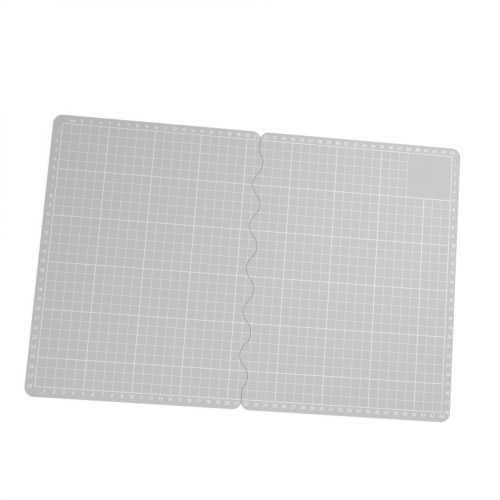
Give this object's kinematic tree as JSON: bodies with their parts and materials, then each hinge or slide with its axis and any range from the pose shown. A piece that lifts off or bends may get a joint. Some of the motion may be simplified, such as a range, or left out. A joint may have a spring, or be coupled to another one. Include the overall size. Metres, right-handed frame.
{
  "type": "folding cutting mat",
  "caption": "Flat grey craft mat with rounded corners and a white centimetre grid with ruler figures, split by a wavy cut and folding back to back at a crease in its back sheet.",
  "frame": {"origin": "centre of the flat mat's underside, on the fold line", "axes": "+X along the long side, towards the half with the bare square; +Y along the fold, towards the top of the figures; +Z out of the printed face"},
  "size_m": [0.45, 0.3, 0.003],
  "materials": {
    "face": "fine matt grain, self-healing soft plastic",
    "inner_ply": "matt, seen only at the cut edges",
    "core": "matt hard plastic, seen only at the cut edges",
    "back": "matt flexible plastic",
    "ink": "thin white printed ink"
  },
  "bodies": {
    "left_half": {"left_back_sheet": "back", "left_lower_inner_ply": "inner_ply", "left_core_ply": "core", "left_upper_inner_ply": "inner_ply", "left_face_ply": "face", "left_grid_print": "ink"},
    "right_half": {"right_back_sheet": "back", "right_lower_inner_ply": "inner_ply", "right_core_ply": "core", "right_upper_inner_ply": "inner_ply", "right_face_ply": "face", "right_grid_print": "ink"}
  },
  "joints": [
    {"name": "fold", "type": "hinge", "parent": "left_half", "child": "right_half", "pos_m": [0, 0, -0.00015], "axis": [0, 1, 0], "range_deg": [0, 180]}
  ]
}
